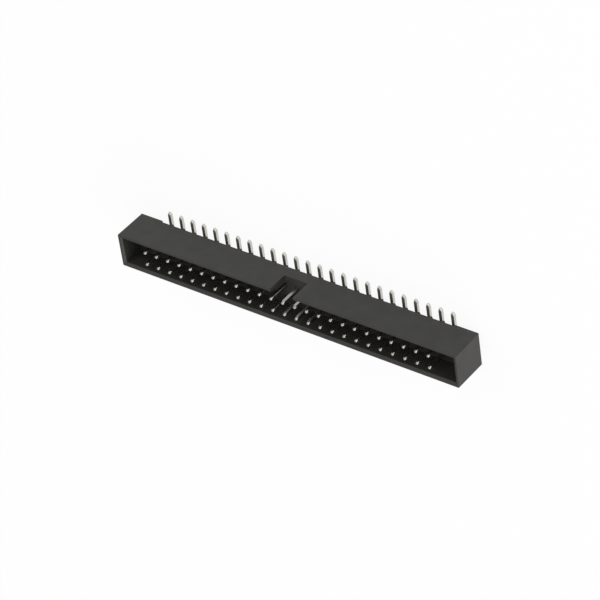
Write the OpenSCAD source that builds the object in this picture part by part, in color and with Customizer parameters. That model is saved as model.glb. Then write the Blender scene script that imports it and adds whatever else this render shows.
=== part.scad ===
// Surface-mount box header for a two-row flat cable socket.
// It stands on its contact tails on the plane Z = 0, centred on X and Y.
// X runs along the rows, +Y points to the wall with the key slot, and the cavity opens towards +Z.

/* [Rows] */
// Contacts in each row
columns = 25; // [3:1:25]
// Distance between neighbouring contacts of a row
pitch = 2; // [1.8:0.05:2.54]
// Distance between the two rows
row_gap = 2; // [1.8:0.05:2.54]

/* [Cavity] */
// Depth of the cavity, from the rim down to the floor
cavity_depth = 3.5; // [2.5:0.1:8]
// Space between the centre of a row and the long wall beside it
side_room = 1.12; // [0.8:0.02:2]
// Space between the centre of an end contact and the end wall
end_room = 4.05; // [2.5:0.05:6]
// Height and width of the slope that leads in round the inside of the rim
lead_in = 0.25; // [0.1:0.05:0.4]

/* [Walls] */
// Thickness of the two long walls
side_wall = 0.6; // [0.5:0.05:1.5]
// Thickness of the two end walls
end_wall = 0.55; // [0.5:0.05:1.5]
// Thickness of the floor, down to the feet of the base ribs
floor_t = 2; // [1.5:0.1:4]
// Radius of the four upright outer corners
corner_r = 0.15; // [0.05:0.05:0.4]

/* [Key slot] */
// Width of the slot through the middle of the +Y wall, open from the rim down to the floor
key_w = 3.9; // [2.5:0.1:5]

/* [Base grooves] */
// Width of the groove under each contact
groove_w = 1.55; // [0.8:0.05:1.65]
// Height of the groove above the feet of the ribs
groove_h = 0.25; // [0.1:0.05:1]
// Width of the spine left between the grooves of the two rows
spine_w = 1; // [0.6:0.05:1.2]

/* [Contacts] */
// Side of the square wire
wire = 0.5; // [0.4:0.02:0.6]
// Length of the point on each end of the wire
point_l = 0.5; // [0.3:0.05:0.8]
// Width of the point where its round nose begins
point_w = 0.36; // [0.2:0.02:0.5]
// Height of the round nose
nose_h = 0.09; // [0.05:0.01:0.1]
// How far the tips of the posts stand above the rim
tip_rise = 0.15; // [0:0.05:0.5]
// Inside radius of the bend between post and tail
bend_r = 0.3; // [0.1:0.05:0.4]
// How far the tips of the tails reach past the side of the housing
tail_reach = 1.2; // [0.9:0.05:2]
// Height of the feet of the base ribs above the plane that the tails stand on
standoff = 1.15; // [0.6:0.05:2]

/* [Hidden] */
$fn = 64;
// Length by which a cut runs past the face that it opens
over = 1;

cavity_l = (columns - 1) * pitch + 2 * end_room;
cavity_w = row_gap + 2 * side_room;
body_l = cavity_l + 2 * end_wall;
body_w = cavity_w + 2 * side_wall;
floor_z = standoff + floor_t;
rim_z = floor_z + cavity_depth;

// Odd contacts stand in the row beside the key slot, even ones in the other row.
function contact_name(n) = str("contact_", n < 10 ? "0" : "", n);
function contact_x(n) = (ceil(n / 2) - (columns + 1) / 2) * pitch;
function contact_turn(n) = n % 2 == 1 ? 0 : 180;

// What two upright outlines have in common: the first is drawn on XZ, the second on YZ.
module crossed(reach) {
    intersection() {
        rotate([90, 0, 0]) linear_extrude(reach, center = true) children(0);
        rotate([90, 0, 90]) linear_extrude(reach, center = true) children(1);
    }
}

// Outline of the outside of the housing, seen from above
module plan_outline() {
    square([body_l - 2 * corner_r, body_w], center = true);
    square([body_l, body_w - 2 * corner_r], center = true);
    for (x = [-1, 1], y = [-1, 1])
        translate([x * (body_l / 2 - corner_r), y * (body_w / 2 - corner_r)]) circle(corner_r);
}

// Outline of the cavity across one direction, spreading at 45 degrees below the rim
module cavity_outline(width) {
    polygon([
        [-width / 2, floor_z],
        [width / 2, floor_z],
        [width / 2, rim_z - lead_in],
        [width / 2 + lead_in + over, rim_z + over],
        [-width / 2 - lead_in - over, rim_z + over],
        [-width / 2, rim_z - lead_in]
    ]);
}

module cavity() {
    crossed(2 * body_l) {
        cavity_outline(cavity_l);
        cavity_outline(cavity_w);
    }
}

module key_slot() {
    translate([-key_w / 2, 0, floor_z]) cube([key_w, body_w / 2 + over, cavity_depth + over]);
}

// Groove under one contact, from the spine out through the side of the housing
module base_groove() {
    translate([-groove_w / 2, spine_w / 2, standoff - over])
        cube([groove_w, (body_w - spine_w) / 2 + over, groove_h + over]);
}

// Square hole through the floor, which grips the wire
module contact_hole() {
    translate([-wire / 2, (row_gap - wire) / 2, standoff - over])
        cube([wire, wire, floor_t + 2 * over]);
}

// Moulded box with its floor, grooved base and keyed wall
module housing() {
    color([0.13, 0.13, 0.135])
        difference() {
            translate([0, 0, standoff]) linear_extrude(rim_z - standoff) plan_outline();
            cavity();
            key_slot();
            for (n = [1 : 2 * columns])
                translate([contact_x(n), 0, 0]) rotate(contact_turn(n)) {
                    base_groove();
                    contact_hole();
                }
        }
}

// Straight length of square wire that stands on the origin and ends in a cone with a round nose
module pointed_wire(length) {
    half_diagonal = wire * sqrt(0.5);
    slope = (half_diagonal - point_w / 2) / (point_l - nose_h);
    shoulder_z = length - nose_h;
    nose_r = (point_w * point_w / 4 + nose_h * nose_h) / (2 * nose_h);
    intersection() {
        translate([-wire / 2, -wire / 2, 0]) cube([wire, wire, length]);
        union() {
            cylinder(h = shoulder_z, r1 = point_w / 2 + slope * shoulder_z, r2 = point_w / 2);
            translate([0, 0, length - nose_r]) sphere(nose_r);
        }
    }
}

// Post, bend and tail of one length of wire: the post stands at the row, the tail points to +Y
module contact(n) {
    bend_z = wire + bend_r;
    tail_y = wire / 2 + bend_r;
    color([0.8, 0.79, 0.76])
        translate([contact_x(n), 0, 0]) rotate(contact_turn(n)) translate([0, row_gap / 2, 0]) {
            translate([0, 0, bend_z]) pointed_wire(rim_z + tip_rise - bend_z);
            translate([0, tail_y, bend_z]) rotate([0, 90, 0])
                rotate_extrude(angle = 90, start = 270)
                    translate([bend_r, -wire / 2]) square(wire);
            translate([0, tail_y, wire / 2]) rotate([-90, 0, 0])
                pointed_wire((body_w - row_gap) / 2 + tail_reach - tail_y);
        }
}

housing();
for (n = [1 : 2 * columns])
    contact(n);
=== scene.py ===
"""A surface-mount box header for a two-row flat cable socket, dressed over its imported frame.

The header stands on its tails on the plane Z = 0. X runs along the rows, +Y points to the wall
with the key slot, and the cavity opens towards +Z. Lengths are in metres, and mm is one millimetre.
"""

import math

import bmesh
import bpy
from mathutils import Matrix, Vector


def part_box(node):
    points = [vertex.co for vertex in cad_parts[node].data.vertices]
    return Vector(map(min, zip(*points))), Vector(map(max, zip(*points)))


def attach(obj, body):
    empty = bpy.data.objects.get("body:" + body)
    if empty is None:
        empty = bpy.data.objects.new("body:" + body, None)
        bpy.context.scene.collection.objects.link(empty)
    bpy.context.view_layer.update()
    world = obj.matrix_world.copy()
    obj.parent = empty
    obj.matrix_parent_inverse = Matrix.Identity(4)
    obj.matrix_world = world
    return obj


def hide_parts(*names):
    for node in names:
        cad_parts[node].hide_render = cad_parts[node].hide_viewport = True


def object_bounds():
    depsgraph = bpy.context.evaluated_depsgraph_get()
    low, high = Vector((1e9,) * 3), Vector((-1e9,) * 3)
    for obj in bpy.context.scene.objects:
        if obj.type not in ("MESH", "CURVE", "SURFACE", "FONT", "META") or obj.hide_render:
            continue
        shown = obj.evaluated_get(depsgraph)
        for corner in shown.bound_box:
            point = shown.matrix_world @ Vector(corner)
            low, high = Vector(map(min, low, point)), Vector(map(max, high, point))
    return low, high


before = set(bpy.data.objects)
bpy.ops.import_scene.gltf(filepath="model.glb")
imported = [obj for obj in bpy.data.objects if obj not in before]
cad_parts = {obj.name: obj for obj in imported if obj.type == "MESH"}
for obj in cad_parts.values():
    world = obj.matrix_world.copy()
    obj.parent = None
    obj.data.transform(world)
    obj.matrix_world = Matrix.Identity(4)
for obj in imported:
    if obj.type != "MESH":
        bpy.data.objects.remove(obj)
cad_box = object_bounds()
mm = 0.001

# ---------------------------------------------------------------------------------------------
# Camera
# A long lens looks down on the opening, from beyond the wall with the key slot and the +X end.
# It is rolled, so that the opening faces the lower left of the view.

AIM_OFFSET = Vector((0.31, -0.66, -0.075)) * mm
CAMERA_DISTANCE = 453.9 * mm
CAMERA_AZIMUTH = math.radians(139.73)
CAMERA_ELEVATION = math.radians(36.22)
CAMERA_ROLL = math.radians(-133.54)
LENS = 199.4
SENSOR = 36.0

box_centre = (cad_box[0] + cad_box[1]) / 2
camera_side = Vector((
    math.sin(CAMERA_AZIMUTH) * math.cos(CAMERA_ELEVATION),
    -math.cos(CAMERA_AZIMUTH) * math.cos(CAMERA_ELEVATION),
    math.sin(CAMERA_ELEVATION),
))
level = camera_side.to_track_quat("Z", "Y").to_matrix().to_4x4()
camera_place = box_centre + AIM_OFFSET + camera_side * CAMERA_DISTANCE

camera = bpy.data.objects.new("camera", bpy.data.cameras.new("camera"))
bpy.context.scene.collection.objects.link(camera)
camera.matrix_world = Matrix.Translation(camera_place) @ level @ Matrix.Rotation(CAMERA_ROLL, 4, "Z")
camera.data.lens = LENS
camera.data.sensor_width = SENSOR
camera.data.clip_start = 0.05
camera.data.clip_end = 20.0
bpy.context.scene.camera = camera

# ---------------------------------------------------------------------------------------------
# Housing
# One box of black glass-filled plastic, injection moulded in a steel tool with a fine matt
# finish. Every edge has the small radius that such a tool leaves.

EDGE_RADIUS = 0.05 * mm
EDGE_STEPS = 2
EDGE_ANGLE = math.radians(30)
MERGE_DISTANCE = 0.001 * mm
FLAT_ANGLE = math.radians(0.5)
PLASTIC_DARK = (0.0242, 0.0230, 0.0218, 1.0)
PLASTIC_PALE = (0.0325, 0.0310, 0.0295, 1.0)
PLASTIC_ROUGHNESS = (0.42, 0.54)
PLASTIC_SHEEN = 0.33
NOISE_RANGE = (0.3, 0.7)
CLOUD_SIZE = 2.5 * mm
GRAIN_SIZE = 0.09 * mm
GRAIN_HEIGHT = 0.004 * mm


def new_material(name):
    """A material, its node tree and its Principled shader."""
    material = bpy.data.materials.new(name)
    material.use_nodes = True
    return material, material.node_tree, material.node_tree.nodes["Principled BSDF"]


def add_node(tree, kind, sockets=None, **settings):
    """A new node, with its settings made and its sockets set to values or linked to other sockets."""
    node = tree.nodes.new(kind)
    for name, value in settings.items():
        setattr(node, name, value)
    for socket, value in (sockets or {}).items():
        if isinstance(value, bpy.types.NodeSocket):
            tree.links.new(value, node.inputs[socket])
        else:
            node.inputs[socket].default_value = value
    return node


def noise(tree, place, size, detail=2.0):
    """Noise with features of about this size, as a value near 0 to 1."""
    sockets = {"Vector": place, "Scale": 1.0 / size, "Detail": detail}
    return add_node(tree, "ShaderNodeTexNoise", sockets).outputs["Fac"]


def spread(tree, value, low, high):
    """Noise stretched to run from low to high."""
    least, most = NOISE_RANGE
    sockets = {"Value": value, "From Min": least, "From Max": most, "To Min": low, "To Max": high}
    return add_node(tree, "ShaderNodeMapRange", sockets).outputs["Result"]


def blend_colours(tree, amount, first, second, way="MIX"):
    """First colour where amount is 0, second where it is 1. Sockets 6 and 7 hold a Mix node's colours."""
    sockets = {0: amount, 6: first, 7: second}
    return add_node(tree, "ShaderNodeMix", sockets, data_type="RGBA", blend_type=way).outputs[2]


def moulded_plastic():
    """Black plastic with a fine grain, and clouds a little paler than the rest."""
    material, tree, shader = new_material("black_moulded_plastic")
    place = add_node(tree, "ShaderNodeTexCoord").outputs["Object"]
    cloud = spread(tree, noise(tree, place, CLOUD_SIZE, detail=4.0), 0.0, 1.0)
    grain = noise(tree, place, GRAIN_SIZE, detail=3.0)
    bump = add_node(tree, "ShaderNodeBump", {"Strength": 1.0, "Distance": GRAIN_HEIGHT, "Height": grain})
    shader.inputs["Specular IOR Level"].default_value = PLASTIC_SHEEN
    tree.links.new(blend_colours(tree, cloud, PLASTIC_DARK, PLASTIC_PALE), shader.inputs["Base Color"])
    tree.links.new(spread(tree, grain, *PLASTIC_ROUGHNESS), shader.inputs["Roughness"])
    tree.links.new(bump.outputs["Normal"], shader.inputs["Normal"])
    return material


def show(name, mesh):
    """Puts a mesh in the scene as a piece that rides on the part's one body."""
    piece = bpy.data.objects.new(name, mesh)
    bpy.context.scene.collection.objects.link(piece)
    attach(piece, "root")
    return piece


def joined_copy(node):
    """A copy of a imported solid's mesh, with its loose triangles merged into whole flat faces."""
    shell = bmesh.new()
    shell.from_mesh(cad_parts[node].data)
    bmesh.ops.remove_doubles(shell, verts=shell.verts, dist=MERGE_DISTANCE)
    bmesh.ops.dissolve_limit(shell, angle_limit=FLAT_ANGLE, verts=shell.verts, edges=shell.edges)
    mesh = bpy.data.meshes.new(node + "_moulding")
    shell.to_mesh(mesh)
    shell.free()
    return mesh


housing_mesh = joined_copy("housing")
housing_mesh.materials.clear()
housing_mesh.materials.append(moulded_plastic())
housing = show("housing_moulding", housing_mesh)
edges = housing.modifiers.new("mould_radius", "BEVEL")
edges.width = EDGE_RADIUS
edges.segments = EDGE_STEPS
edges.limit_method = "ANGLE"
edges.angle_limit = EDGE_ANGLE
edges.harden_normals = True
edges.use_clamp_overlap = False
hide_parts("housing")

# ---------------------------------------------------------------------------------------------
# Contacts
# Lengths of square copper alloy wire with rounded edges, turned to a point at both ends, tin
# plated, pressed through the floor and then bent, so that their tails lie flat on the board.

BEND_RADIUS = 0.3 * mm
BEND_STEPS = 10
POINT_LENGTH = 0.5 * mm
POINT_WIDTH = 0.36 * mm
NOSE_HEIGHT = 0.09 * mm
NOSE_STEPS = 4
CONE_STEPS = 5
EDGE_REACH = 0.335 * mm
SECTION_POINTS = 48
# Painted light and shade: one plating, painted darker on the posts as shade in the cavity and to dim the
# tips' highlights, and paler on the tails as light on them.
POST_TIN_PAINTED_SHADE = (0.40, 0.395, 0.37, 1.0)
TAIL_TIN_PAINTED_LIGHT = (0.64, 0.635, 0.60, 1.0)
TIN_STAIN = (0.94, 0.92, 0.88, 1.0)
TIN_ROUGHNESS = (0.27, 0.32)
TAIL_DULLNESS = 0.09
POST_FROM = 1.5 * mm
TAIL_UP_TO = 0.6 * mm
STREAK_SIZE = Vector((0.03, 0.5, 0.5)) * mm
STAIN_SIZE = 0.8 * mm
PLATING_GRAIN = 0.05 * mm
PLATING_HEIGHT = 0.0004 * mm


def tin_plating():
    """Streaked and faintly stained tin, duller on the tails than on the posts. Its colour holds painted shade
    on the posts, which are painted darker, and painted light on the tails, which are painted paler.
    """
    material, tree, shader = new_material("tin_plating")
    place = add_node(tree, "ShaderNodeTexCoord").outputs["Object"]
    height = add_node(tree, "ShaderNodeSeparateXYZ", {"Vector": place}).outputs["Z"]
    sockets = {"Value": height, "From Min": POST_FROM, "From Max": TAIL_UP_TO}
    tail = add_node(tree, "ShaderNodeMapRange", sockets).outputs["Result"]
    sockets = {"Vector": place, "Scale": [1 / size for size in STREAK_SIZE]}
    drawn = add_node(tree, "ShaderNodeMapping", sockets).outputs["Vector"]
    streaks = add_node(tree, "ShaderNodeTexNoise", {"Vector": drawn, "Scale": 1.0}).outputs["Fac"]
    stains = spread(tree, noise(tree, place, STAIN_SIZE, detail=3.0), 0.0, 1.0)
    grain = noise(tree, place, PLATING_GRAIN)
    bump = add_node(tree, "ShaderNodeBump", {"Strength": 1.0, "Distance": PLATING_HEIGHT, "Height": grain})
    # Painted shade on the posts blended by height into painted light on the tails.
    colour = blend_colours(tree, tail, POST_TIN_PAINTED_SHADE, TAIL_TIN_PAINTED_LIGHT)
    sockets = {0: tail, 1: TAIL_DULLNESS, 2: spread(tree, streaks, *TIN_ROUGHNESS)}
    roughness = add_node(tree, "ShaderNodeMath", sockets, operation="MULTIPLY_ADD").outputs[0]
    shader.inputs["Metallic"].default_value = 1.0
    tree.links.new(blend_colours(tree, stains, colour, TIN_STAIN, "MULTIPLY"), shader.inputs["Base Color"])
    tree.links.new(roughness, shader.inputs["Roughness"])
    tree.links.new(bump.outputs["Normal"], shader.inputs["Normal"])
    return material


def contact_row_tree():
    """A row of bent wires. Each wire's path lies in its YZ plane, with the post at Y = 0."""
    tree = bpy.data.node_groups.new("contact_row", "GeometryNodeTree")
    kinds = {
        "Wire": "NodeSocketFloat", "Edge reach": "NodeSocketFloat", "Bend radius": "NodeSocketFloat",
        "Point length": "NodeSocketFloat", "Point width": "NodeSocketFloat", "Nose height": "NodeSocketFloat",
        "Post height": "NodeSocketFloat", "Tail length": "NodeSocketFloat",
        "First place": "NodeSocketVector", "Step": "NodeSocketVector", "Count": "NodeSocketInt",
        "Turn": "NodeSocketVector", "Material": "NodeSocketMaterial",
    }
    for name, kind in kinds.items():
        tree.interface.new_socket(name, in_out="INPUT", socket_type=kind)
    tree.interface.new_socket("Geometry", in_out="OUTPUT", socket_type="NodeSocketGeometry")
    given = tree.nodes.new("NodeGroupInput").outputs

    def maths(operation, *numbers):
        return add_node(tree, "ShaderNodeMath", dict(enumerate(numbers)), operation=operation).outputs[0]

    def vectors(operation, *sockets):
        return add_node(tree, "ShaderNodeVectorMath", dict(enumerate(sockets)), operation=operation).outputs

    def point(y, z):
        return add_node(tree, "ShaderNodeCombineXYZ", {"Y": y, "Z": z}).outputs["Vector"]

    # Path of the wire: both points get a ring of faces at each step in from the tip.
    half_wire = maths("DIVIDE", given["Wire"], 2.0)
    cone = maths("SUBTRACT", given["Point length"], given["Nose height"])
    steps = [maths("MULTIPLY", given["Nose height"], step / NOSE_STEPS) for step in range(NOSE_STEPS)]
    for step in range(CONE_STEPS + 1):
        steps.append(maths("MULTIPLY_ADD", cone, step / CONE_STEPS, given["Nose height"]))
    path = [point(maths("SUBTRACT", given["Tail length"], step), half_wire) for step in steps]
    bend = maths("ADD", given["Bend radius"], half_wire)
    for step in range(BEND_STEPS + 1):
        angle = math.pi / 2 * step / BEND_STEPS
        rise = maths("MULTIPLY_ADD", bend, 1 - math.cos(angle), half_wire)
        path.append(point(maths("MULTIPLY", bend, 1 - math.sin(angle)), rise))
    path += [point(0.0, maths("SUBTRACT", given["Post height"], step)) for step in reversed(steps)]

    corner = add_node(tree, "GeometryNodeIndexSwitch", data_type="VECTOR")
    for _ in path[2:]:
        corner.index_switch_items.new()
    tree.links.new(tree.nodes.new("GeometryNodeInputIndex").outputs["Index"], corner.inputs["Index"])
    for number, place in enumerate(path):
        tree.links.new(place, corner.inputs[str(number)])
    line = add_node(tree, "GeometryNodeMeshLine", {"Count": len(path)}).outputs["Mesh"]
    sockets = {"Geometry": line, "Position": corner.outputs["Output"]}
    line = add_node(tree, "GeometryNodeSetPosition", sockets).outputs["Geometry"]
    curve = add_node(tree, "GeometryNodeMeshToCurve", {"Mesh": line}).outputs["Curve"]
    sockets = {"Curve": curve, "Normal": (1.0, 0.0, 0.0)}
    curve = add_node(tree, "GeometryNodeSetCurveNormal", sockets, mode="FREE").outputs["Curve"]

    # Section of the wire: a circle held inside the square, which leaves its four edges round.
    position = tree.nodes.new("GeometryNodeInputPosition").outputs["Position"]
    sockets = {"Resolution": SECTION_POINTS, "Radius": given["Edge reach"]}
    section = add_node(tree, "GeometryNodeCurvePrimitiveCircle", sockets).outputs["Curve"]
    least = maths("MULTIPLY", half_wire, -1.0)
    held = vectors("MAXIMUM", vectors("MINIMUM", position, half_wire)[0], least)[0]
    sockets = {"Geometry": section, "Position": held}
    section = add_node(tree, "GeometryNodeSetPosition", sockets).outputs["Geometry"]
    sockets = {"Curve": curve, "Profile Curve": section}
    wire = add_node(tree, "GeometryNodeCurveToMesh", sockets).outputs["Mesh"]

    # Points: what stands outside the cone and its round nose is drawn in to them.
    half_point = maths("DIVIDE", given["Point width"], 2.0)
    half_diagonal = maths("MULTIPLY", given["Wire"], math.sqrt(0.5))
    slope = maths("DIVIDE", maths("SUBTRACT", half_diagonal, half_point), cone)
    squares = maths("ADD", maths("POWER", half_point, 2.0), maths("POWER", given["Nose height"], 2.0))
    nose_diameter = maths("DIVIDE", squares, given["Nose height"])
    along = add_node(tree, "ShaderNodeSeparateXYZ", {"Vector": position}).outputs
    ends = [
        (maths("SUBTRACT", given["Tail length"], along["Y"]), point(along["Y"], half_wire)),
        (maths("SUBTRACT", given["Post height"], along["Z"]), point(0.0, along["Z"])),
    ]
    for depth, middle in ends:
        nose = maths("SQRT", maths("MULTIPLY", depth, maths("SUBTRACT", nose_diameter, depth)))
        flank = maths("MULTIPLY_ADD", slope, maths("SUBTRACT", depth, given["Nose height"]), half_point)
        in_nose = maths("LESS_THAN", depth, given["Nose height"])
        reach = add_node(tree, "ShaderNodeMix", {"Factor": in_nose, "A": flank, "B": nose}).outputs["Result"]
        spoke = vectors("SUBTRACT", position, middle)[0]
        share = maths("MINIMUM", maths("DIVIDE", reach, vectors("LENGTH", spoke)["Value"]), 1.0)
        drawn_in = vectors("MULTIPLY_ADD", spoke, share, middle)[0]
        sockets = {
            "Geometry": wire, "Position": drawn_in,
            "Selection": maths("LESS_THAN", depth, given["Point length"]),
        }
        wire = add_node(tree, "GeometryNodeSetPosition", sockets).outputs["Geometry"]
    sockets = {"Geometry": wire, "Distance": MERGE_DISTANCE}
    wire = add_node(tree, "GeometryNodeMergeByDistance", sockets).outputs["Geometry"]
    wire = add_node(tree, "GeometryNodeSetShadeSmooth", {"Geometry": wire}).outputs["Geometry"]

    sockets = {"Count": given["Count"], "Start Location": given["First place"], "Offset": given["Step"]}
    places = add_node(tree, "GeometryNodeMeshLine", sockets).outputs["Mesh"]
    turn = add_node(tree, "FunctionNodeEulerToRotation", {0: given["Turn"]}).outputs[0]
    sockets = {"Points": places, "Instance": wire, "Rotation": turn}
    row = add_node(tree, "GeometryNodeInstanceOnPoints", sockets).outputs["Instances"]
    row = add_node(tree, "GeometryNodeRealizeInstances", {"Geometry": row}).outputs["Geometry"]
    sockets = {"Geometry": row, "Material": given["Material"]}
    row = add_node(tree, "GeometryNodeSetMaterial", sockets).outputs["Geometry"]
    tree.links.new(row, tree.nodes.new("NodeGroupOutput").inputs["Geometry"])
    return tree


def plain_mesh(tree, values, name):
    """What a geometry tree makes with these values, as a mesh of its own."""
    carrier = bpy.data.objects.new(name, bpy.data.meshes.new(name))
    bpy.context.scene.collection.objects.link(carrier)
    maker = carrier.modifiers.new("maker", "NODES")
    maker.node_group = tree
    for item in tree.interface.items_tree:
        if item.in_out == "INPUT":
            maker[item.identifier] = values[item.name]
    seen = carrier.evaluated_get(bpy.context.evaluated_depsgraph_get())
    mesh = bpy.data.meshes.new_from_object(seen)
    bpy.data.objects.remove(carrier)
    return mesh


contact_names = sorted(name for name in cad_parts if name.startswith("contact_"))
rows = {
    "contacts_beside_key_slot": (contact_names[0::2], 0.0),
    "contacts_beside_plain_wall": (contact_names[1::2], math.pi),
}
row_tree = contact_row_tree()
tin = tin_plating()
for row_name, (names, turn) in rows.items():
    low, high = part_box(names[0])
    last_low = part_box(names[-1])[0]
    wire = high.x - low.x
    side = math.cos(turn)
    inner_y = low.y if side > 0 else high.y
    tip_y = high.y if side > 0 else low.y
    post_y = inner_y + side * wire / 2
    values = {
        "Wire": wire,
        "Edge reach": EDGE_REACH,
        "Bend radius": BEND_RADIUS,
        "Point length": POINT_LENGTH,
        "Point width": POINT_WIDTH,
        "Nose height": NOSE_HEIGHT,
        "Post height": high.z,
        "Tail length": abs(tip_y - post_y),
        "First place": ((low.x + high.x) / 2, post_y, 0.0),
        "Step": ((last_low.x - low.x) / (len(names) - 1), 0.0, 0.0),
        "Count": len(names),
        "Turn": (0.0, 0.0, turn),
        "Material": tin,
    }
    row = show(row_name, plain_mesh(row_tree, values, row_name))
    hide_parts(*names)

# ---------------------------------------------------------------------------------------------
# Floor and light
# A pale floor in an even white room, with three soft lamps: a large low one beyond the +X end, one
# above the wall with the key slot, and a small low one between them, which picks out the tips.

FLOOR_SIZE = 6.0
FLOOR_COLOUR = (0.80, 0.80, 0.80, 1.0)
FLOOR_ROUGHNESS = 0.9
FLOOR_GLOW = 0.92
ROOM_LIGHT = 0.56
LAMPS = {
    "end_light": {"place": (0.65, -0.5, 0.25), "size": 1.8, "power": 13.5},
    "key_light": {"place": (-0.1, 0.5, 0.6), "size": 1.0, "power": 2.4},
    "tip_light": {"place": (0.6, 0.5, 0.12), "size": 0.5, "power": 1.2},
}


def seen_directly(tree):
    """1 for rays that come from the lens or off a glossy or clear surface, 0 for the room's own light."""
    rays = tree.nodes.new("ShaderNodeLightPath").outputs
    sockets = {0: rays["Is Camera Ray"], 1: rays["Is Glossy Ray"]}
    seen = add_node(tree, "ShaderNodeMath", sockets, operation="MAXIMUM").outputs[0]
    sockets = {0: seen, 1: rays["Is Transmission Ray"]}
    return add_node(tree, "ShaderNodeMath", sockets, operation="MAXIMUM").outputs[0]


def floor_white():
    """A floor that looks nearly pure white, but lights the part no more than a plain pale one does."""
    material, tree, shader = new_material("floor_white")
    shader.inputs["Base Color"].default_value = FLOOR_COLOUR
    shader.inputs["Roughness"].default_value = FLOOR_ROUGHNESS
    glow = add_node(tree, "ShaderNodeEmission", {"Strength": 1.0}).outputs[0]
    sockets = {0: seen_directly(tree), 1: FLOOR_GLOW}
    share = add_node(tree, "ShaderNodeMath", sockets, operation="MULTIPLY").outputs[0]
    mixed = add_node(tree, "ShaderNodeMixShader", {0: share, 1: shader.outputs[0], 2: glow})
    tree.links.new(mixed.outputs[0], tree.nodes["Material Output"].inputs["Surface"])
    return material


floor_mesh = bpy.data.meshes.new("floor")
half = FLOOR_SIZE / 2
corners = [(-half, -half, 0.0), (half, -half, 0.0), (half, half, 0.0), (-half, half, 0.0)]
floor_mesh.from_pydata(corners, [], [(0, 1, 2, 3)])
floor_mesh.materials.append(floor_white())
floor = bpy.data.objects.new("floor", floor_mesh)
bpy.context.scene.collection.objects.link(floor)

room = bpy.data.worlds.new("room")
room.use_nodes = True
bpy.context.scene.world = room
background = room.node_tree.nodes["Background"]
background.inputs["Color"].default_value = (1.0, 1.0, 1.0, 1.0)
background.inputs["Strength"].default_value = ROOM_LIGHT

for lamp_name, lamp in LAMPS.items():
    light = bpy.data.lights.new(lamp_name, "AREA")
    light.shape = "DISK"
    light.size = lamp["size"]
    light.energy = lamp["power"]
    holder = bpy.data.objects.new(lamp_name, light)
    bpy.context.scene.collection.objects.link(holder)
    place = Vector(lamp["place"])
    holder.matrix_world = Matrix.Translation(place) @ place.to_track_quat("Z", "Y").to_matrix().to_4x4()

bpy.context.scene.view_settings.view_transform = "Standard"
